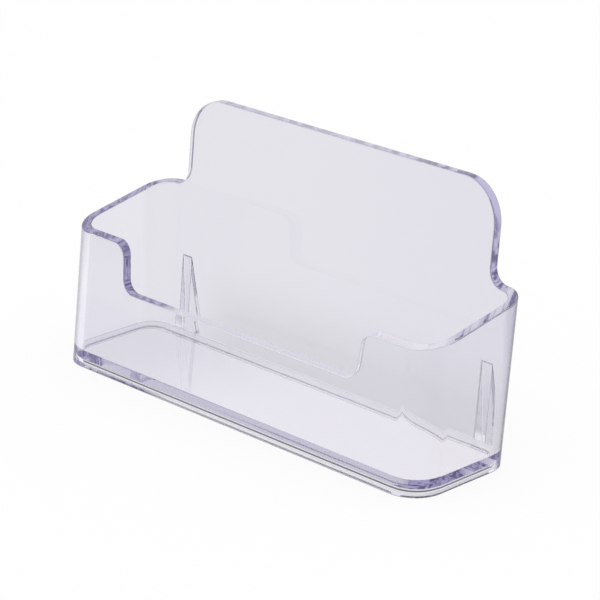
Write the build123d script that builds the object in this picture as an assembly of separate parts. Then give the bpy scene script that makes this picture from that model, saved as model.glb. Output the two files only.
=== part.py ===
from build123d import *
import os
from math import radians, tan

# Clear plastic business card holder, moulded in one shot from polystyrene.
# It is a shallow open box that leans back a little, with a tall back panel,
# a low front lip between two ears, and two wedge ribs behind the back wall.
# The moulding is divided here along its own walls and corners, so that every
# wall is a solid of its own that meets its neighbours face to face.
# Lengths are in millimetres and angles in degrees, with +Z up, +X to the
# right of someone facing the holder and +Y towards its back.

# Base, measured over the outside on the table. The walls stand on a rim that
# is wider than they are, round a shallow recess under the floor.
base_width = 96.0
base_depth = 25.3
floor_thickness = 1.9
recess_depth = 0.9
foot_rim_width = 2.6

# Walls
wall = 1.9
front_lean_angle = 7.1
back_lean_angle = 6.1
side_draft_angle = 0.4
front_corner_radius = 6.4
back_corner_radius = 5.6
pocket_floor_radius = 0.3

# Rim of the front and side walls, one plane that rises towards the back
ear_height = 26.6
rim_slope_angle = 11.0
ear_radius = 2.6

# Notch in the front wall, through which a card is pulled out, between the ears
ear_width = 17.2
notch_height = 17.6
notch_side_angle = 5.5
notch_radius = 2.6

# Back panel above the rim, between the shoulders
shoulder_width = 8.2
panel_height = 49.5
panel_corner_radius = 8.0
shoulder_radius = 3.0

# Wedge ribs behind the back wall, with their inset from the sides of the base
rib_inset = 8.7
rib_thickness = 2.4
rib_height = 16.8
rib_foot_depth = 4.7
rib_top_depth = 0.3

# Room by which cutting shapes pass the moulding, and the distance within
# which an edge counts as lying on a plane
spare = 10.0
touching = 0.001

floor_height = floor_thickness + recess_depth
notch_width = base_width - 2 * ear_width
panel_width = base_width - 2 * shoulder_width
rib_spacing = base_width - 2 * rib_inset


def rise(angle):
    """Sideways travel of a leaning line for each millimetre of height."""
    return tan(radians(angle))


def half_width(z):
    """Distance from the middle to the outside of a side wall at a height."""
    return base_width / 2 + z * rise(side_draft_angle)


def front_face(z):
    """Y of the outside of the front wall at a height."""
    return z * rise(front_lean_angle)


def back_face(z):
    """Y of the outside of the back wall at a height."""
    return base_depth + z * rise(back_lean_angle)


def rim(y):
    """Height of the rim at a depth."""
    return ear_height + (y - front_face(ear_height)) * rise(rim_slope_angle)


def notch_half(z):
    """Half the width of the notch at a height."""
    return notch_width / 2 + (z - notch_height) * rise(notch_side_angle)


top = panel_height + spare
pocket_middle = (front_face(ear_height) + back_face(ear_height)) / 2
reach = half_width(top) + spare
front_end = -spare
back_end = back_face(top) + rib_foot_depth + spare


def outline(z, inset):
    """Plan of the walls at a height: a rectangle with its own corner radii."""
    width = 2 * (half_width(z) - inset)
    front = front_face(z) + inset
    back = back_face(z) - inset
    plan = Pos(0, (front + back) / 2, 0) * Rectangle(width, back - front)
    by_depth = plan.vertices().sort_by(Axis.Y)
    plan = fillet(by_depth[:2], front_corner_radius - inset)
    by_depth = plan.vertices().sort_by(Axis.Y)
    plan = fillet(by_depth[-2:], back_corner_radius - inset)
    return Pos(0, 0, z) * plan


def leaning_box(low, high, inset):
    """Solid between two heights that follows the walls."""
    return loft([outline(low, inset), outline(high, inset)], ruled=True)


def round_foot(body, radius):
    """Round the edges of the lowest face."""
    foot = body.faces().sort_by(Axis.Z)[0]
    return fillet(foot.edges(), radius)


def prism_along_x(points, left, right):
    """Solid with the given corners in Y and Z, between two places in X."""
    side = Plane.YZ * make_face(Polyline(points, close=True))
    return Pos(left, 0, 0) * extrude(side, right - left, dir=(1, 0, 0))


def prism_along_y(profile, front, back):
    """Solid with the given profile in X and Z, between two places in Y."""
    return Pos(0, front, 0) * extrude(Plane.XZ * profile, back - front, dir=(0, 1, 0))


def rim_cutter():
    """What lies above the rim, apart from the arch of the back panel."""
    above = prism_along_x(
        [
            (front_end, rim(front_end)),
            (back_end, rim(back_end)),
            (back_end, top + spare),
            (front_end, top + spare),
        ],
        -reach,
        reach,
    )
    arch = Pos(0, panel_height / 2) * Rectangle(panel_width, panel_height)
    arch = fillet(arch.vertices().sort_by(Axis.Y)[-2:], panel_corner_radius)
    cutter = above - prism_along_y(arch, pocket_middle, back_end + spare)
    shoulders = [
        edge
        for edge in cutter.edges()
        if abs(abs(edge.center().X) - panel_width / 2) < touching
        and edge.center().Y > pocket_middle + touching
        and abs(edge.center().Z - rim(edge.center().Y)) < touching
    ]
    return fillet(shoulders, shoulder_radius)


def notch_cutter():
    """The notch, open upwards, with round corners at its foot."""
    corners = [
        (-notch_half(notch_height), notch_height),
        (notch_half(notch_height), notch_height),
        (notch_half(top), top),
        (-notch_half(top), top),
    ]
    profile = make_face(Polyline(corners, close=True))
    profile = fillet(profile.vertices().sort_by(Axis.Y)[:2], notch_radius)
    return prism_along_y(profile, front_end, pocket_middle)


def round_ears(shell):
    """Round the ears where the rim turns down into the notch."""
    tips = [
        edge
        for edge in shell.edges()
        if edge.center().Y < pocket_middle
        and abs(edge.center().Z - rim(edge.center().Y)) < touching
        and abs(abs(edge.center().X) - notch_half(edge.center().Z)) < touching
    ]
    return fillet(tips, ear_radius)


def leaning_slab(front, back, left, right):
    """Room between two leaning planes, given by their Y at a height."""
    low = -spare
    high = top + spare
    corners = [(front(low), low), (back(low), low), (back(high), high), (front(high), high)]
    return prism_along_x(corners, left, right)


outer = leaning_box(0, top, 0)
pocket = round_foot(leaning_box(floor_height, top + spare, wall), pocket_floor_radius)
recess = extrude(outline(0, foot_rim_width), recess_depth, dir=(0, 0, 1))
moulding = round_ears(outer - pocket - recess - rim_cutter() - notch_cutter())


def rear_rib(x):
    """Wedge rib behind the back wall, cut to the wall that it stands on."""
    inside = wall / 2
    corners = [
        (back_face(0) - inside, 0),
        (back_face(0) + rib_foot_depth, 0),
        (back_face(rib_height) + rib_top_depth, rib_height),
        (back_face(rib_height) - inside, rib_height),
    ]
    return prism_along_x(corners, x - rib_thickness / 2, x + rib_thickness / 2) - outer


# The planes along which the moulding is divided
lip_end = notch_width / 2 - notch_radius
front_flat = base_width / 2 - front_corner_radius
back_flat = base_width / 2 - back_corner_radius


def front_split(z):
    """Y at which the front corners end and the side walls start."""
    return front_face(z) + front_corner_radius


def back_split(z):
    """Y at which the side walls end and the back corners start."""
    return back_face(z) - back_corner_radius


def far_front(z):
    """Y of a plane in front of everything."""
    return front_end - 2 * spare


def far_back(z):
    """Y of a plane behind everything."""
    return back_end + 2 * spare


floor_room = extrude(outline(0, foot_rim_width), floor_height + pocket_floor_radius, dir=(0, 0, 1))
walls = moulding - floor_room

rooms = {
    "front_lip": (far_front, front_split, -lip_end, lip_end),
    "left_front_ear": (far_front, front_split, -front_flat, -lip_end),
    "right_front_ear": (far_front, front_split, lip_end, front_flat),
    "front_left_corner": (far_front, front_split, -reach, -front_flat),
    "front_right_corner": (far_front, front_split, front_flat, reach),
    "left_side_wall": (front_split, back_split, -reach, 0),
    "right_side_wall": (front_split, back_split, 0, reach),
    "back_left_corner": (back_split, far_back, -reach, -back_flat),
    "back_right_corner": (back_split, far_back, back_flat, reach),
    "back_panel": (back_split, far_back, -back_flat, back_flat),
}

pieces = {"floor_plate": moulding & floor_room}
for name, room in rooms.items():
    pieces[name] = walls & leaning_slab(*room)
pieces["left_rear_rib"] = rear_rib(-rib_spacing / 2)
pieces["right_rear_rib"] = rear_rib(rib_spacing / 2)

# The origin is the middle of the holder's footprint, on the table.
boxes = [piece.bounding_box() for piece in pieces.values()]
foremost = min(box.min.Y for box in boxes)
hindmost = max(box.max.Y for box in boxes)
to_origin = Pos(0, -(foremost + hindmost) / 2, 0)

os.makedirs("parts", exist_ok=True)
for name, piece in pieces.items():
    export_step(to_origin * piece, f"parts/{name}.step")
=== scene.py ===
from math import cos, hypot, radians, sin, tan

import bmesh
import bpy
from bpy.props import FloatProperty, FloatVectorProperty, IntProperty, PointerProperty
from bpy.types import NodeSocket, Operator, Panel, PropertyGroup
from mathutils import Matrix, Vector


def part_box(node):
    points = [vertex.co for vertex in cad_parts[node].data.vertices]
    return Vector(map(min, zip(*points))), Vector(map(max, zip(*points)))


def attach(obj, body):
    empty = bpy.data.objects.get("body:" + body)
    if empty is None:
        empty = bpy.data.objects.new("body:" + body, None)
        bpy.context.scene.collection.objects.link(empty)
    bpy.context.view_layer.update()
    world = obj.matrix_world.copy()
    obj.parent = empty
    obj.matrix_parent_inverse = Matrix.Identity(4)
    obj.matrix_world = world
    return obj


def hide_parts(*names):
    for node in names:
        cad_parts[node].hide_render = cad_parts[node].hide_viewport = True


bl_info = {
    "name": "Clear Card Holder",
    "version": (1, 0, 0),
    "blender": (4, 5, 0),
    "location": "View3D > Sidebar > Card Holder",
    "description": "Models a clear moulded business card holder and the table it is photographed on",
    "category": "Add Mesh",
}

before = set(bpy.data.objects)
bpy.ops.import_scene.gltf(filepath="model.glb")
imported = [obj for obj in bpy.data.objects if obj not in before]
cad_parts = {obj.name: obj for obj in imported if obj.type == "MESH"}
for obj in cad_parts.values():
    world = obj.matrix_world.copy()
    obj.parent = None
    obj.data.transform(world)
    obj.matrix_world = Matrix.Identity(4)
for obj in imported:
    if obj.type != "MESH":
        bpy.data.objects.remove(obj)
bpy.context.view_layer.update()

MM = 0.001
NODES = sorted(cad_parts)
lip_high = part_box("front_lip")[1]
panel_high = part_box("back_panel")[1]
rib_low, rib_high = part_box("right_rear_rib")

WHITE = (1, 1, 1)
BLACK = (0, 0, 0)

# Distance within which a corner counts as lying on a plane
TOUCHING = 0.01 * MM

# Share of an edge's rounding within which corners of the mesh are joined
JOINED = 0.2

# Profile of a bevel that is an arc
ROUND = 0.5

# Part of a normal along an axis from which a face counts as facing along it
FACING = 0.5

# Sockets of a Mix node that are used when it mixes colours
MIX_FACTOR = 0
MIX_LOW = 6
MIX_HIGH = 7
MIX_RESULT = 2

# Spans across the holder over which one painted shade, light or glow of the plastic gives way to another
PAST_LEFT_EAR = (-31 * MM, -25 * MM)
PAST_LEFT_RIB = (-38 * MM, -22 * MM)
SIDES_RIGHTWARDS = (-10 * MM, 10 * MM)
BACK_RIGHTWARDS = (-10 * MM, 35 * MM)
FLOOR_RIGHTWARDS = (-40 * MM, 0)
OUTLINE_RIGHTWARDS = (-90 * MM, 0)
FOOT_LINE_RIGHTWARDS = (-12 * MM, 18 * MM)
INSIDE_RIGHTWARDS = (-32 * MM, -12 * MM)
INTO_RIGHT_WALL = (10 * MM, 18 * MM)
PANEL_LEFTWARDS = (25 * MM, -5 * MM)

# Such spans between front and back
FRONT_TO_SIDES = (-13 * MM, -9.5 * MM)
SIDES_TO_BACK = (5.5 * MM, 8 * MM)
INTO_FRONT_WALL = (-10 * MM, -11 * MM)
INTO_FRONT_FACE = (-12 * MM, -14 * MM)
INTO_RIBS = (10.8 * MM, 11.8 * MM)

# Such spans upwards or downwards
OVER_TABLE = (0.2 * MM, 0.6 * MM)
OVER_FOOT = (1.9 * MM, 2.5 * MM)
OVER_FLOOR = (3.0 * MM, 3.8 * MM)
UP_FRONT = (11 * MM, 16 * MM)
UP_BACK = (6 * MM, 20 * MM)
UP_PANEL = (18 * MM, 26 * MM)
BELOW_RIM = (22 * MM, 16 * MM)
BELOW_RIB_TOP = (18 * MM, 14 * MM)

# Distances from the middle of the painted thin foot line, from clear to dark
TOWARDS_FOOT_LINE = (0.18 * MM, 0.05 * MM)

# Slant of a face to the line of sight over which its outline darkens
GRAZING = (0.48, 0.8)

# Values of the noise over which a streak of the painted glow turns light and a handling mark turns dull
STREAK = (0.35, 0.62)
HANDLED = (0.55, 0.75)


def length(name, description, default):
    """A size in metres, for the panel."""
    return FloatProperty(name=name, description=description, default=default, unit="LENGTH", precision=5)


def angle(name, description, default):
    """An angle given in degrees, for the panel."""
    return FloatProperty(name=name, description=description, default=radians(default), unit="ROTATION")


def colour(name, description, default):
    """A colour, for the panel."""
    return FloatVectorProperty(
        name=name, description=description, default=default, subtype="COLOR", min=0, max=1
    )


def point(name, description, default):
    """A point, for the panel."""
    return FloatVectorProperty(name=name, description=description, default=default, subtype="TRANSLATION")


def amount(name, description, default):
    """A plain number, for the panel."""
    return FloatProperty(name=name, description=description, default=default, precision=4)


def count(name, description, default):
    """A whole number, for the panel."""
    return IntProperty(name=name, description=description, default=default)


class HolderSizes(PropertyGroup):
    """Sizes of the moulding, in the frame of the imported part"""

    base_width: length("Base Width", "Width over the outside at the table", 96.0 * MM)
    base_depth: length("Base Depth", "Depth over the outside at the table", 25.3 * MM)
    base_front: length("Base Front", "Place of the front face at the table", -15.295 * MM)
    floor_height: length("Floor", "Height of the pocket's floor over the table", 2.8 * MM)
    recess_depth: length("Recess", "Depth of the recess under the floor", 0.9 * MM)
    foot_rim: length("Foot Rim", "Width of the rim round the recess", 2.6 * MM)
    wall: length("Wall", "Thickness of the walls", 1.9 * MM)
    front_lean: angle("Front Lean", "Lean of the front wall towards the back", 7.1)
    back_lean: angle("Back Lean", "Lean of the back wall", 6.1)
    side_draft: angle("Side Draft", "Lean of the side walls outwards", 0.4)
    front_corner: length("Front Corner", "Outer radius of the front corners", 6.4 * MM)
    back_corner: length("Back Corner", "Outer radius of the back corners", 5.6 * MM)
    pocket_radius: length("Pocket Foot", "Rounding between walls and pocket floor", 0.12 * MM)
    ear_height: length("Ear Height", "Height of the rim at the front face", 26.6 * MM)
    rim_slope: angle("Rim Slope", "Rise of the rim towards the back", 11.0)
    ear_radius: length("Ear Corner", "Rounding of the ears beside the notch", 2.6 * MM)
    notch_width: length("Notch Width", "Width of the notch at its foot", 61.6 * MM)
    notch_height: length("Notch Height", "Height of the lip under the notch", lip_high.z)
    notch_lean: angle("Notch Side", "Lean of the notch's sides outwards", 5.5)
    notch_radius: length("Notch Corner", "Rounding of the corners at the notch's foot", 2.6 * MM)
    panel_width: length("Panel Width", "Width of the back panel", 79.6 * MM)
    panel_height: length("Panel Height", "Height of the back panel", panel_high.z)
    panel_corner: length("Panel Corner", "Radius of the panel's upper corners", 8.0 * MM)
    shoulder_radius: length("Shoulder", "Rounding between the panel and the rim", 3.0 * MM)
    rib_place: length("Rib Place", "Distance of a rib from the middle", (rib_low.x + rib_high.x) / 2)
    rib_thickness: length("Rib Thickness", "Thickness of a rib", rib_high.x - rib_low.x)
    rib_height: length("Rib Height", "Height of a rib", rib_high.z)
    rib_foot: length("Rib Foot", "Depth of a rib at the table", 4.7 * MM)
    rib_top: length("Rib Top", "Depth of a rib at its top", 0.3 * MM)
    edge_radius: length("Edge", "Rounding of the moulding's sharp edges", 0.22 * MM)
    sharp_angle: angle("Sharp Angle", "Turn between two faces from which their edge is sharp", 35.0)
    corner_steps: count("Corner Steps", "Facets in a rounded corner", 28)
    small_corner_steps: count("Small Corner Steps", "Facets in a small rounded corner", 14)
    foot_steps: count("Foot Steps", "Facets in the rounding of the pocket floor", 3)
    edge_steps: count("Edge Steps", "Facets in the rounding of a sharp edge", 3)


class EdgeLines(PropertyGroup):
    """How dark the painted shade lines on the edges and in the recess are, from 0 for clear to 1 for the
    colour of the painted edge shade
    """

    foot: amount("Foot", "Edges below the floor", 0.4)
    right_foot: amount("Right Foot", "Edges below the floor on the right side", 1.0)
    rib: amount("Rib", "Edges of the ribs", 0.06)
    front_outside: amount("Front Outside", "Outer edges of the front wall", 0.15)
    front_inside: amount("Front Inside", "Inner edges of the front wall", 0.4)
    panel_left: amount("Panel Left", "Edges of the panel's left end", 0.9)
    panel_right: amount("Panel Right", "Edges of the panel's right end", 0.6)
    outside: amount("Outside", "Other outer edges", 0.6)
    inside: amount("Inside", "Other inner edges", 0.15)
    # The recess's line is a painted shade band, darkening upwards on the walls of the recess
    recess_start: amount("Recess Start", "Share of the recess's height where its line starts", 0.3)
    recess_rise: amount("Recess Rise", "Darkening of that line over the recess's height", 6.0)
    recess_least: amount("Recess Least", "Share of that line on the recess's back and left", 0.25)


class PlasticFinish(PropertyGroup):
    """Colours and surface of the clear plastic, with the painted shade, light and glow in it"""

    # The wall tints below are the plastic's faint violet with painted shade and light: darker at the left
    # side and the back, darkest at the foot of the back, lighter at the right side and nearly clear in the
    # front
    front_foot: colour("Front Foot", "Tint of light through the foot of the front", (0.94, 0.932, 1.0))
    left_ear: colour("Left Ear", "Tint of light through the left ear", (0.97, 0.968, 0.99))
    left_side_shade: colour("Left Side", "Tint of light through the left wall", (0.70, 0.69, 0.765))
    right_side: colour("Right Side", "Tint of light through the right wall", (0.94, 0.935, 0.955))
    back_left_shade: colour("Back Left", "Tint of light through the back at the left", (0.64, 0.632, 0.714))
    back_right_shade: colour("Back Right", "Tint of light through the back at the right", (0.615, 0.602, 0.695))
    back_foot_shade: colour("Back Foot", "Tint of light through the foot of the back", (0.512, 0.506, 0.571))
    # Floor tints are painted shade: darker at the left and on the faces on the table, nearly clear at the
    # right
    floor_left_shade: colour("Floor Left", "Tint of light through the floor at the left", (0.84, 0.835, 0.86))
    floor_right: colour("Floor Right", "Tint of light through the floor at the right", (1.0, 0.985, 1.0))
    # Colour of the painted shade in the dark edges, the outline and the foot line
    painted_edge_shade: colour("Edge Line", "Tint of light through a dark edge", (0.03, 0.028, 0.045))
    # The foot line is painted shade: a thin dark line on the outer face of the front's foot, darker towards
    # the right; the solid has no shape there for it
    painted_foot_line: amount("Foot Line", "Darkness of the thin line in the foot of the front", 0.75)
    foot_line_height: length("Foot Line Height", "Height of that line over the table", 2.43 * MM)
    depth: colour("Depth", "Colour that thick plastic takes", (0.27, 0.24, 0.47))
    density: amount("Density", "Absorption in a metre of plastic", 25.0)
    # Colours of a painted glow: the plastic lets out light where a ray has been reflected inside more often
    # than is followed, standing for light that goes round inside the walls
    inner_shade: colour("Inner Shade", "Light that has gone round inside, darkest", (0.20, 0.18, 0.32))
    inner_violet: colour("Inner Violet", "Light that has gone round inside, usual", (0.60, 0.57, 0.76))
    inner_blue: colour("Inner Blue", "Light that has gone round inside at the right", (0.74, 0.695, 0.90))
    inner_clear: colour("Inner Clear", "Light that comes up through the walls", (1.0, 0.98, 1.0))
    streak_size: length("Streak Size", "Length of the streaks in that light", 2.2 * MM)
    panel_light: amount("Panel Light", "Share of clear light in the top of the panel", 0.4)
    rib_light: amount("Rib Light", "Share of clear light in the ribs", 0.6)
    bounces: amount("Bounces", "Reflections inside the walls before that light takes over", 4.5)
    refraction: amount("Refraction", "Index of refraction of polystyrene", 1.57)
    reflection: colour("Reflection", "Strength of the mirror images in the faces", (0.25, 0.25, 0.25))
    polish: amount("Polish", "Roughness of the polished faces", 0.012)
    haze: amount("Haze", "Roughness of faint handling marks", 0.05)
    mark_size: length("Mark Size", "Size of the handling marks", 9 * MM)
    waviness: length("Waviness", "Height of the flow waves in the faces", 0.006 * MM)
    wave_size: length("Wave Size", "Distance between the flow waves", 16 * MM)


class StageSettings(PropertyGroup):
    """Table, light and camera"""

    floor_colour: colour("Floor", "Colour of the table", (0.97, 0.97, 0.97))
    floor_radius: length("Floor Radius", "Radius of the table", 2.0)
    floor_steps: count("Floor Steps", "Facets round the table", 96)
    floor_gap: length("Floor Gap", "Room between the table and the holder's foot", 0.02 * MM)
    floor_roughness: amount("Floor Roughness", "Roughness of the table", 0.9)
    floor_glow: amount("Floor Lift", "Share of plain white in the table where it is seen", 0.9)
    world_strength: amount("World Light", "Strength of the soft light all round", 1.0)
    camera_azimuth: angle("Camera Azimuth", "Turn of the camera round the holder", 45.81)
    camera_elevation: angle("Camera Elevation", "Height angle of the camera", 20.34)
    camera_distance: length("Camera Distance", "Distance of the camera from its target", 492.1 * MM)
    lens: amount("Lens", "Focal length in millimetres", 164.0)
    sensor: amount("Sensor", "Width of the camera's sensor in millimetres", 36.0)
    nearest: length("Nearest", "Distance from which the camera sees", 10 * MM)
    target: point("Target", "Point that the camera looks at", (10.673 * MM, -6.713 * MM, 25.512 * MM))


def rise(lean):
    """Sideways travel of a leaning line for each metre of height."""
    return tan(lean)


def half_width(sizes, z):
    """Distance from the middle to the outside of a side wall at a height."""
    return sizes.base_width / 2 + z * rise(sizes.side_draft)


def front_face(sizes, z):
    """Y of the outside of the front wall at a height."""
    return sizes.base_front + z * rise(sizes.front_lean)


def back_face(sizes, z):
    """Y of the outside of the back wall at a height."""
    return sizes.base_front + sizes.base_depth + z * rise(sizes.back_lean)


def rim(sizes, y):
    """Height of the rim at a depth."""
    return sizes.ear_height + (y - front_face(sizes, sizes.ear_height)) * rise(sizes.rim_slope)


def notch_half(sizes, z):
    """Half the width of the notch at a height."""
    return sizes.notch_width / 2 + (z - sizes.notch_height) * rise(sizes.notch_lean)


def pocket_middle(sizes):
    """Y of the middle of the pocket at the ears' height."""
    return (front_face(sizes, sizes.ear_height) + back_face(sizes, sizes.ear_height)) / 2


def inset_of(sizes, place):
    """How far a place lies inside the outline of the walls at its height."""
    front = front_face(sizes, place.z)
    back = back_face(sizes, place.z)
    half_depth = (back - front) / 2
    ahead = front + half_depth - place.y
    radius = sizes.front_corner if ahead > 0 else sizes.back_corner
    past_side = abs(place.x) - half_width(sizes, place.z) + radius
    past_end = abs(ahead) - half_depth + radius
    if min(past_side, past_end) > 0:
        return radius - hypot(past_side, past_end)
    return radius - max(past_side, past_end)


def deselect_all():
    """Go to object mode with nothing selected."""
    if bpy.context.object and bpy.context.object.mode != "OBJECT":
        bpy.ops.object.mode_set(mode="OBJECT")
    bpy.ops.object.select_all(action="DESELECT")


def make_active(piece):
    """Select one object alone."""
    deselect_all()
    piece.select_set(True)
    bpy.context.view_layer.objects.active = piece


def add_block(name, low, high):
    """A box between two corners, with its place in its mesh, left in edit mode."""
    low = Vector(low)
    high = Vector(high)
    deselect_all()
    bpy.ops.mesh.primitive_cube_add(size=1, location=(low + high) / 2, scale=high - low)
    block = bpy.context.object
    block.name = name
    bpy.ops.object.transform_apply(location=True, rotation=True, scale=True)
    bpy.ops.object.mode_set(mode="EDIT")
    return block


def select_where(kind, test):
    """Select the corners, edges or faces of the mesh in edit mode that pass a test on all their corners."""
    bpy.ops.mesh.select_mode(type=kind)
    bpy.ops.mesh.select_all(action="DESELECT")
    mesh = bmesh.from_edit_mesh(bpy.context.object.data)
    parts = {"VERT": mesh.verts, "EDGE": mesh.edges, "FACE": mesh.faces}[kind]
    found = 0
    for part in parts:
        corners = [part] if kind == "VERT" else part.verts
        if all(test(corner.co) for corner in corners):
            part.select_set(True)
            found += 1
    if not found:
        raise RuntimeError(f"nothing to select on {bpy.context.object.name}")
    mesh.select_flush_mode()
    bmesh.update_edit_mesh(bpy.context.object.data)


def keep_edges(test):
    """Of the selected edges, keep those whose two ends pass a test."""
    mesh = bmesh.from_edit_mesh(bpy.context.object.data)
    for edge in mesh.edges:
        start, end = edge.verts
        if not test(start.co, end.co):
            edge.select_set(False)
    mesh.select_flush_mode()
    bmesh.update_edit_mesh(bpy.context.object.data)


def round_edges(radius, steps):
    """Round the selected edges."""
    bpy.ops.mesh.bevel(offset=radius, segments=steps, profile=ROUND, affect="EDGES")


def near(value, target):
    """Whether two places are the same."""
    return abs(value - target) < TOUCHING


def leave_edit():
    """Go back to object mode with clean outward faces."""
    bpy.ops.mesh.select_all(action="SELECT")
    bpy.ops.mesh.normals_make_consistent(inside=False)
    bpy.ops.object.mode_set(mode="OBJECT")


def combine(target, tool, operation):
    """Cut a tool out of the target, or join it on, and remove the tool."""
    make_active(target)
    step = target.modifiers.new("Combine", "BOOLEAN")
    step.operation = operation
    step.solver = "EXACT"
    step.object = tool
    bpy.ops.object.modifier_apply(modifier=step.name)
    mesh = tool.data
    bpy.data.objects.remove(tool)
    bpy.data.meshes.remove(mesh)


def leaning_block(name, sizes, low, high, inset, foot_radius=0):
    """A block that follows the walls from one height to another, with rounded corners and, if asked, foot."""
    width = half_width(sizes, low) - inset
    front = front_face(sizes, low) + inset
    back = back_face(sizes, low) - inset
    top_width = half_width(sizes, high) - inset
    top_front = front_face(sizes, high) + inset
    top_back = back_face(sizes, high) - inset
    block = add_block(name, (-width, front, low), (width, back, high))
    select_where("FACE", lambda co: near(co.z, high))
    middle = (top_front + top_back) / 2
    bpy.ops.transform.translate(value=(0, middle - (front + back) / 2, 0))
    bpy.ops.transform.resize(
        value=(top_width / width, (top_back - top_front) / (back - front), 1),
        center_override=(0, middle, high),
    )
    for foot_y, top_y, radius in (
        (front, top_front, sizes.front_corner),
        (back, top_back, sizes.back_corner),
    ):
        select_where(
            "EDGE",
            lambda co: near(co.y, foot_y) and near(co.z, low) or near(co.y, top_y) and near(co.z, high),
        )
        keep_edges(lambda start, end: not near(start.z, end.z))
        round_edges(radius - inset, sizes.corner_steps)
    if foot_radius:
        select_where("EDGE", lambda co: near(co.z, low))
        round_edges(foot_radius, sizes.foot_steps)
    leave_edit()
    return block


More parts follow.
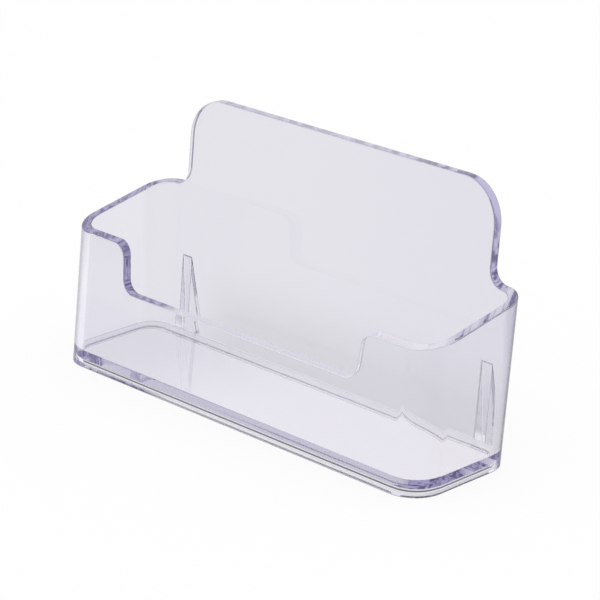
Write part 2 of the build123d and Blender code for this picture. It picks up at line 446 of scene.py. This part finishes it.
class CARDHOLDER_OT_moulding(Operator):
    """Model the holder's walls, floor, notch, back panel and ribs as one clear moulding"""

    bl_idname = "card_holder.moulding"
    bl_label = "Moulding"

    # Room by which cutting shapes pass the moulding
    spare = 10 * MM

    def execute(self, context):
        sizes = context.scene.card_holder_sizes
        moulding = self.open_box(sizes)
        combine(moulding, self.rim_cutter(sizes), "DIFFERENCE")
        combine(moulding, self.notch_cutter(sizes), "DIFFERENCE")
        self.round_ears(moulding, sizes)
        for side in (-1, 1):
            combine(moulding, self.rib(sizes, side), "UNION")
        self.finish_edges(moulding, sizes, context.scene.card_holder_edges)
        moulding.data.materials.append(clear_plastic(context.scene.card_holder_finish))
        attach(moulding, "root")
        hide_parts(*NODES)
        return {"FINISHED"}

    def open_box(self, sizes):
        """The leaning box with its pocket, higher than the back panel."""
        top = sizes.panel_height + self.spare
        box = leaning_block("card_holder", sizes, 0, top, 0)
        pocket = leaning_block(
            "pocket", sizes, sizes.floor_height, top + self.spare, sizes.wall, sizes.pocket_radius
        )
        combine(box, pocket, "DIFFERENCE")
        recess = leaning_block("recess", sizes, -self.spare, sizes.recess_depth, sizes.foot_rim)
        combine(box, recess, "DIFFERENCE")
        return box

    def rim_cutter(self, sizes):
        """What lies above the rim, apart from the arch of the back panel."""
        top = sizes.panel_height + 3 * self.spare
        reach = sizes.base_width / 2 + 2 * self.spare
        front = sizes.base_front - self.spare
        back = back_face(sizes, top) + self.spare
        cutter = add_block("rim_cutter", (-reach, front, rim(sizes, front)), (reach, back, top))
        select_where("EDGE", lambda co: near(co.y, back) and near(co.z, rim(sizes, front)))
        bpy.ops.transform.translate(value=(0, 0, rim(sizes, back) - rim(sizes, front)))
        leave_edit()
        side = sizes.panel_width / 2
        middle = pocket_middle(sizes)
        arch = add_block("arch", (-side, middle, 0), (side, back + self.spare, sizes.panel_height))
        select_where("EDGE", lambda co: near(abs(co.x), side) and near(co.z, sizes.panel_height))
        round_edges(sizes.panel_corner, sizes.corner_steps)
        leave_edit()
        combine(cutter, arch, "DIFFERENCE")
        make_active(cutter)
        bpy.ops.object.mode_set(mode="EDIT")
        select_where("EDGE", lambda co: near(abs(co.x), side) and near(co.z, rim(sizes, co.y)))
        round_edges(sizes.shoulder_radius, sizes.small_corner_steps)
        leave_edit()
        return cutter

    def notch_cutter(self, sizes):
        """The notch, open upwards, with round corners at its foot."""
        foot = sizes.notch_height
        top = foot + 2 * self.spare
        side = notch_half(sizes, foot)
        front = sizes.base_front - self.spare
        cutter = add_block("notch", (-side, front, foot), (side, pocket_middle(sizes), top))
        select_where("FACE", lambda co: near(co.z, top))
        bpy.ops.transform.resize(value=(notch_half(sizes, top) / side, 1, 1), center_override=(0, 0, 0))
        select_where("EDGE", lambda co: near(co.z, foot) and near(abs(co.x), side))
        keep_edges(lambda start, end: not near(start.y, end.y))
        round_edges(sizes.notch_radius, sizes.small_corner_steps)
        leave_edit()
        return cutter

    def round_ears(self, moulding, sizes):
        """Round the ears where the rim turns down into the notch."""
        make_active(moulding)
        bpy.ops.object.mode_set(mode="EDIT")
        middle = pocket_middle(sizes)

        def on_tip(co):
            at_notch = near(abs(co.x), notch_half(sizes, co.z))
            return co.y < middle and at_notch and near(co.z, rim(sizes, co.y))

        select_where("EDGE", on_tip)
        round_edges(sizes.ear_radius, sizes.small_corner_steps)
        leave_edit()

    def rib(self, sizes, side):
        """A wedge rib behind the back wall, from inside the wall to its free edge."""
        middle = side * sizes.rib_place
        half = sizes.rib_thickness / 2
        top = sizes.rib_height
        inside = back_face(sizes, 0) - sizes.wall / 2
        foot_end = back_face(sizes, 0) + sizes.rib_foot
        top_end = back_face(sizes, top) + sizes.rib_top
        wedge = add_block("rib", (middle - half, inside, 0), (middle + half, foot_end, top))
        select_where("EDGE", lambda co: near(co.z, top) and near(co.y, foot_end))
        bpy.ops.transform.translate(value=(0, top_end - foot_end, 0))
        select_where("EDGE", lambda co: near(co.z, top) and near(co.y, inside))
        bpy.ops.transform.translate(value=(0, top * rise(sizes.back_lean), 0))
        leave_edit()
        return wedge

    def finish_edges(self, moulding, sizes, lines):
        """Break the sharp edges as a mould does, and smooth the rounded faces."""
        make_active(moulding)
        bpy.ops.object.mode_set(mode="EDIT")
        bpy.ops.mesh.select_all(action="SELECT")
        bpy.ops.mesh.remove_doubles(threshold=sizes.edge_radius * JOINED)
        leave_edit()
        mesh = moulding.data
        mesh.materials.clear()
        for name in ("face", "edge"):
            mesh.materials.append(bpy.data.materials.new(name))
        mesh.polygons.foreach_set("material_index", [0] * len(mesh.polygons))
        bevel = moulding.modifiers.new("Edges", "BEVEL")
        bevel.material = mesh.materials.find("edge")
        bevel.limit_method = "ANGLE"
        bevel.angle_limit = sizes.sharp_angle
        bevel.width = sizes.edge_radius
        bevel.segments = sizes.edge_steps
        bevel.use_clamp_overlap = False
        bpy.ops.object.modifier_apply(modifier=bevel.name)
        self.flatten_foot()
        self.mark_faces(mesh, sizes, lines)
        mesh.polygons.foreach_set("material_index", [0] * len(mesh.polygons))
        for material in list(mesh.materials):
            mesh.materials.pop()
            bpy.data.materials.remove(material)
        bpy.ops.object.shade_smooth_by_angle(angle=sizes.sharp_angle)
        weighted = moulding.modifiers.new("Flat Faces", "WEIGHTED_NORMAL")
        weighted.keep_sharp = True
        bpy.ops.object.modifier_apply(modifier=weighted.name)

    def flatten_foot(self):
        """Set the corners at the table, and any that the rounding put below it, on the table."""
        bpy.ops.object.mode_set(mode="EDIT")
        select_where("VERT", lambda co: co.z < TOUCHING)
        bpy.ops.transform.resize(value=(1, 1, 0), center_override=(0, 0, 0))
        leave_edit()

    def mark_faces(self, mesh, sizes, lines):
        """Note which faces are outer walls, floor or painted dark shade lines, for the plastic to read."""
        walls = []
        floors = []
        darkness = []
        for face in mesh.polygons:
            inset = inset_of(sizes, face.center)
            upright = abs(face.normal.z) < FACING
            low = face.center.z < sizes.floor_height + sizes.edge_radius
            rib_side = inset < -sizes.edge_radius and abs(face.normal.x) > FACING
            walls.append(float(upright and inset < sizes.edge_radius and not rib_side))
            floors.append(float(low and not upright))
            for corner in face.vertices:
                height = mesh.vertices[corner].co.z / sizes.recess_depth
                if face.material_index:
                    darkness.append(self.painted_edge_shade(sizes, lines, face.center, inset))
                elif upright and inset > sizes.wall and height < 1:
                    darkness.append(self.recess_painted_shade(lines, face.normal, height))
                else:
                    darkness.append(0.0)
        for name, domain, values in (
            ("wall", "FACE", walls),
            ("floor", "FACE", floors),
            ("line", "CORNER", darkness),
        ):
            mesh.attributes.new(name, "FLOAT", domain).data.foreach_set("value", values)

    def painted_edge_shade(self, sizes, lines, place, inset):
        """How dark the painted shade on a rounded edge is: darkest at the foot of the right side and the left
        of the panel.
        """
        outer = inset < sizes.wall / 2
        if place.z < sizes.floor_height:
            at_right = place.x > half_width(sizes, place.z) - sizes.wall
            return lines.right_foot if at_right else lines.foot
        if place.z < 2 * sizes.floor_height and not outer:
            return 0.0
        if inset < -sizes.edge_radius:
            return lines.rib
        if place.y < front_face(sizes, place.z) + sizes.front_corner:
            return lines.front_outside if outer else lines.front_inside
        at_panel_end = abs(place.x) > sizes.panel_width / 2 - sizes.wall
        if at_panel_end and place.z > rim(sizes, place.y) + sizes.shoulder_radius:
            return lines.panel_left if place.x < 0 else lines.panel_right
        return lines.outside if outer else lines.inside

    def recess_painted_shade(self, lines, normal, height):
        """How dark the painted shade on a wall of the recess is at a share of its height: darkest at the
        front and right.
        """
        front_right = min(max(normal.y - normal.x, 0), 1)
        shade = lines.recess_least + (1 - lines.recess_least) * front_right
        return lines.recess_rise * (height - lines.recess_start) * shade


class Shading:
    """The nodes of one material."""

    def __init__(self, material):
        material.use_nodes = True
        self.nodes = material.node_tree.nodes
        self.links = material.node_tree.links

    def mix(self, factor, low, high):
        """A mix of two colours, each a socket or a plain colour."""
        step = self.nodes.new("ShaderNodeMix")
        step.data_type = "RGBA"
        self.links.new(factor, step.inputs[MIX_FACTOR])
        for socket, value in ((step.inputs[MIX_LOW], low), (step.inputs[MIX_HIGH], high)):
            if isinstance(value, NodeSocket):
                self.links.new(value, socket)
            else:
                socket.default_value = (*value, 1)
        return step.outputs[MIX_RESULT]

    def ramp(self, value, span):
        """A number that goes smoothly from 0 to 1 as a value goes from one end of a span to the other."""
        step = self.nodes.new("ShaderNodeMapRange")
        step.interpolation_type = "SMOOTHSTEP"
        for name, end in zip(("From Min", "From Max"), span):
            step.inputs[name].default_value = end
        self.links.new(value, step.inputs["Value"])
        return step.outputs[0]

    def compute(self, operation, *values):
        """A sum done on one or two numbers, each a socket or a plain number."""
        step = self.nodes.new("ShaderNodeMath")
        step.operation = operation
        for socket, value in zip(step.inputs, values):
            if isinstance(value, NodeSocket):
                self.links.new(value, socket)
            else:
                socket.default_value = value
        return step.outputs[0]

    def product(self, result, *factors):
        """Numbers multiplied together."""
        for factor in factors:
            result = self.compute("MULTIPLY", result, factor)
        return result

    def largest(self, result, *others):
        """The largest of some numbers."""
        for other in others:
            result = self.compute("MAXIMUM", result, other)
        return result

    def noise(self, place, size, detail, roughness=0.5):
        """Cloudy noise of a size."""
        step = self.nodes.new("ShaderNodeTexNoise")
        step.inputs["Scale"].default_value = 1 / size
        step.inputs["Detail"].default_value = detail
        step.inputs["Roughness"].default_value = roughness
        self.links.new(place, step.inputs["Vector"])
        return step.outputs[0]

    def mark(self, name):
        """A number that the mesh carries."""
        step = self.nodes.new("ShaderNodeAttribute")
        step.attribute_name = name
        return step.outputs["Fac"]


def wall_tint_and_painted_shade(shading, finish, across, along, height):
    """Tint of light through the outer faces of the walls: the plastic's faint violet with painted shade and
    light, darker at the left side and the back, darkest at the foot of the back, lighter at the right and
    nearly clear in the front.
    """
    front = shading.mix(shading.ramp(across, PAST_LEFT_EAR), finish.left_ear, WHITE)
    front = shading.mix(shading.ramp(height, UP_FRONT), finish.front_foot, front)
    sides = shading.mix(shading.ramp(across, SIDES_RIGHTWARDS), finish.left_side_shade, finish.right_side)
    wall = shading.mix(shading.ramp(along, FRONT_TO_SIDES), front, sides)
    back = shading.mix(shading.ramp(across, BACK_RIGHTWARDS), finish.back_left_shade, finish.back_right_shade)
    back_foot_shade = shading.mix(shading.ramp(across, PAST_LEFT_RIB), finish.back_left_shade, finish.back_foot_shade)
    back = shading.mix(shading.ramp(height, UP_BACK), back_foot_shade, back)
    return shading.mix(shading.ramp(along, SIDES_TO_BACK), wall, back)


def floor_tint_and_painted_shade(shading, finish, across, height):
    """Tint of light through the floor with painted shade: darker towards the left and on the faces on the
    table, clearer towards the right.
    """
    rightwards = shading.ramp(across, FLOOR_RIGHTWARDS)
    over_table = shading.ramp(height, OVER_TABLE)
    return shading.mix(shading.product(rightwards, over_table), finish.floor_left_shade, finish.floor_right)


def painted_dark_lines(shading, finish, across, along, height):
    """How dark the painted shade is on the edges, along the outline of the walls where they turn away from
    sight, and in the thin line in the foot of the front.
    """
    wall = shading.mark("wall")
    grazing = shading.nodes.new("ShaderNodeLayerWeight")
    # Painted shade along the outline: walls darken where they turn away from sight, more towards the right
    outline = shading.product(
        shading.ramp(grazing.outputs["Facing"], GRAZING),
        wall,
        shading.ramp(across, OUTLINE_RIGHTWARDS),
    )
    # Painted thin dark line in the foot of the front
    from_line = shading.compute("SUBTRACT", height, finish.foot_line_height)
    painted_foot_line = shading.product(
        shading.ramp(shading.compute("ABSOLUTE", from_line), TOWARDS_FOOT_LINE),
        shading.ramp(across, FOOT_LINE_RIGHTWARDS),
        shading.ramp(along, INTO_FRONT_FACE),
        wall,
        finish.painted_foot_line,
    )
    return shading.largest(outline, shading.mark("line"), painted_foot_line)


def painted_inner_glow(shading, finish, place, across, along, height):
    """Painted glow for light that has gone round inside the walls: streaky violet, clear where the front lets
    it up and in the right wall, partly clear in the ribs and the top of the panel.
    """
    streak = shading.ramp(shading.noise(place, finish.streak_size, detail=2), STREAK)
    usual = shading.mix(shading.ramp(across, INSIDE_RIGHTWARDS), finish.inner_violet, finish.inner_blue)
    violet = shading.mix(streak, finish.inner_shade, usual)
    right_wall = shading.product(
        shading.ramp(across, INTO_RIGHT_WALL),
        shading.ramp(height, OVER_FLOOR),
        shading.ramp(height, BELOW_RIM),
    )
    walls = shading.largest(shading.ramp(along, INTO_FRONT_WALL), right_wall)
    walls = shading.product(walls, shading.ramp(across, PAST_LEFT_EAR))
    ribs = shading.product(
        shading.ramp(along, INTO_RIBS), shading.ramp(height, BELOW_RIB_TOP), finish.rib_light
    )
    panel = shading.product(
        shading.ramp(height, UP_PANEL), shading.ramp(across, PANEL_LEFTWARDS), finish.panel_light
    )
    return shading.mix(shading.largest(walls, ribs, panel), violet, finish.inner_clear)


def clear_plastic(finish):
    """Clear polystyrene: polished, a little wavy, violet where the light goes far inside it, from its
    absorption and from a painted glow, with painted shade in its tint and painted dark lines.
    """
    material = bpy.data.materials.new("clear_plastic")
    shading = Shading(material)
    nodes = shading.nodes
    links = shading.links
    shader = nodes["Principled BSDF"]
    place = nodes.new("ShaderNodeTexCoord").outputs["Object"]
    parts = nodes.new("ShaderNodeSeparateXYZ")
    links.new(place, parts.inputs[0])
    across, along, height = parts.outputs

    # Outer faces of the walls above the foot take the tint with its painted shade and light
    outer = shading.product(shading.mark("wall"), shading.ramp(height, OVER_FOOT))
    tint = shading.mix(outer, WHITE, wall_tint_and_painted_shade(shading, finish, across, along, height))
    # The floor takes its tint with painted shade
    tint = shading.mix(shading.mark("floor"), tint, floor_tint_and_painted_shade(shading, finish, across, height))
    # The painted dark lines pull the tint towards the colour of the painted edge shade
    lines = painted_dark_lines(shading, finish, across, along, height)
    links.new(shading.mix(lines, tint, finish.painted_edge_shade), shader.inputs["Base Color"])

    # Painted glow: faces let out the inner light for rays reflected inside past the bounce limit
    path = nodes.new("ShaderNodeLightPath")
    deep = shading.compute("GREATER_THAN", path.outputs["Glossy Depth"], finish.bounces)
    inner = painted_inner_glow(shading, finish, place, across, along, height)
    links.new(shading.mix(deep, BLACK, inner), shader.inputs["Emission Color"])
    shader.inputs["Emission Strength"].default_value = 1

    surface = nodes.new("ShaderNodeBump")
    surface.inputs["Distance"].default_value = finish.waviness
    links.new(shading.noise(place, finish.wave_size, detail=1), surface.inputs["Height"])
    links.new(surface.outputs[0], shader.inputs["Normal"])

    marks = shading.noise(place, finish.mark_size, detail=6, roughness=0.7)
    rough = nodes.new("ShaderNodeMapRange")
    rough.inputs["To Min"].default_value = finish.polish
    rough.inputs["To Max"].default_value = finish.haze
    links.new(shading.ramp(marks, HANDLED), rough.inputs["Value"])
    links.new(rough.outputs[0], shader.inputs["Roughness"])

    shader.inputs["IOR"].default_value = finish.refraction
    shader.inputs["Specular Tint"].default_value = (*finish.reflection, 1)
    shader.inputs["Transmission Weight"].default_value = 1
    absorb = nodes.new("ShaderNodeVolumeAbsorption")
    absorb.inputs["Color"].default_value = (*finish.depth, 1)
    absorb.inputs["Density"].default_value = finish.density
    links.new(absorb.outputs[0], nodes["Material Output"].inputs["Volume"])
    return material


class CARDHOLDER_OT_stage(Operator):
    """Lay out the table, the soft light and the camera"""

    bl_idname = "card_holder.stage"
    bl_label = "Stage"

    def execute(self, context):
        stage = context.scene.card_holder_stage
        self.table(stage)
        self.world(context.scene, stage)
        self.camera(context.scene, stage)
        context.scene.view_settings.view_transform = "Standard"
        return {"FINISHED"}

    def table(self, stage):
        """A round pale table under the holder."""
        deselect_all()
        bpy.ops.mesh.primitive_circle_add(
            vertices=stage.floor_steps,
            radius=stage.floor_radius,
            fill_type="NGON",
            location=(0, 0, -stage.floor_gap),
        )
        table = bpy.context.object
        table.name = "table"
        bpy.ops.object.transform_apply(location=True)
        table.data.materials.append(self.table_top(stage))

    def table_top(self, stage):
        """Matt pale paint that keeps the holder's shadow, and is nearly white where it is seen."""
        material = bpy.data.materials.new("table_top")
        shading = Shading(material)
        shader = shading.nodes["Principled BSDF"]
        shader.inputs["Base Color"].default_value = (*stage.floor_colour, 1)
        shader.inputs["Roughness"].default_value = stage.floor_roughness
        shader.inputs["Specular IOR Level"].default_value = 0
        glow = shading.nodes.new("ShaderNodeEmission")
        glow.inputs["Strength"].default_value = 1
        path = shading.nodes.new("ShaderNodeLightPath")
        rays = ("Is Camera Ray", "Is Glossy Ray", "Is Transmission Ray")
        seen = shading.largest(*(path.outputs[name] for name in rays))
        share = shading.product(seen, stage.floor_glow)
        mix = shading.nodes.new("ShaderNodeMixShader")
        for socket, value in zip(mix.inputs, (share, shader.outputs[0], glow.outputs[0])):
            shading.links.new(value, socket)
        shading.links.new(mix.outputs[0], shading.nodes["Material Output"].inputs["Surface"])
        return material

    def world(self, scene, stage):
        """Soft white light from all round."""
        world = bpy.data.worlds.new("studio")
        scene.world = world
        world.use_nodes = True
        background = world.node_tree.nodes["Background"]
        background.inputs["Color"].default_value = (*WHITE, 1)
        background.inputs["Strength"].default_value = stage.world_strength

    def camera(self, scene, stage):
        """A long lens from the front right, a little above."""
        data = bpy.data.cameras.new("camera")
        camera = bpy.data.objects.new("camera", data)
        scene.collection.objects.link(camera)
        azimuth = stage.camera_azimuth
        elevation = stage.camera_elevation
        away = Vector((sin(azimuth) * cos(elevation), -cos(azimuth) * cos(elevation), sin(elevation)))
        camera.location = Vector(stage.target) + away * stage.camera_distance
        camera.rotation_euler = away.to_track_quat("Z", "Y").to_euler()
        data.sensor_width = stage.sensor
        data.lens = stage.lens
        data.clip_start = stage.nearest
        scene.camera = camera


class CARDHOLDER_PT_panel(Panel):
    """Sizes and finish of the card holder"""

    bl_label = "Card Holder"
    bl_idname = "CARDHOLDER_PT_panel"
    bl_space_type = "VIEW_3D"
    bl_region_type = "UI"
    bl_category = "Card Holder"

    def draw(self, context):
        for operator in (CARDHOLDER_OT_moulding, CARDHOLDER_OT_stage):
            self.layout.operator(operator.bl_idname)
        for name in SETTINGS:
            group = getattr(context.scene, name)
            box = self.layout.box()
            for key in group.__annotations__:
                box.prop(group, key)


SETTINGS = {
    "card_holder_sizes": HolderSizes,
    "card_holder_edges": EdgeLines,
    "card_holder_finish": PlasticFinish,
    "card_holder_stage": StageSettings,
}
CLASSES = (
    *SETTINGS.values(),
    CARDHOLDER_OT_moulding,
    CARDHOLDER_OT_stage,
    CARDHOLDER_PT_panel,
)


def register():
    for item in CLASSES:
        bpy.utils.register_class(item)
    for name, group in SETTINGS.items():
        setattr(bpy.types.Scene, name, PointerProperty(type=group))


def unregister():
    for name in SETTINGS:
        delattr(bpy.types.Scene, name)
    for item in reversed(CLASSES):
        bpy.utils.unregister_class(item)


def main():
    register()
    bpy.ops.card_holder.moulding()
    bpy.ops.card_holder.stage()


if __name__ == "__main__":
    main()
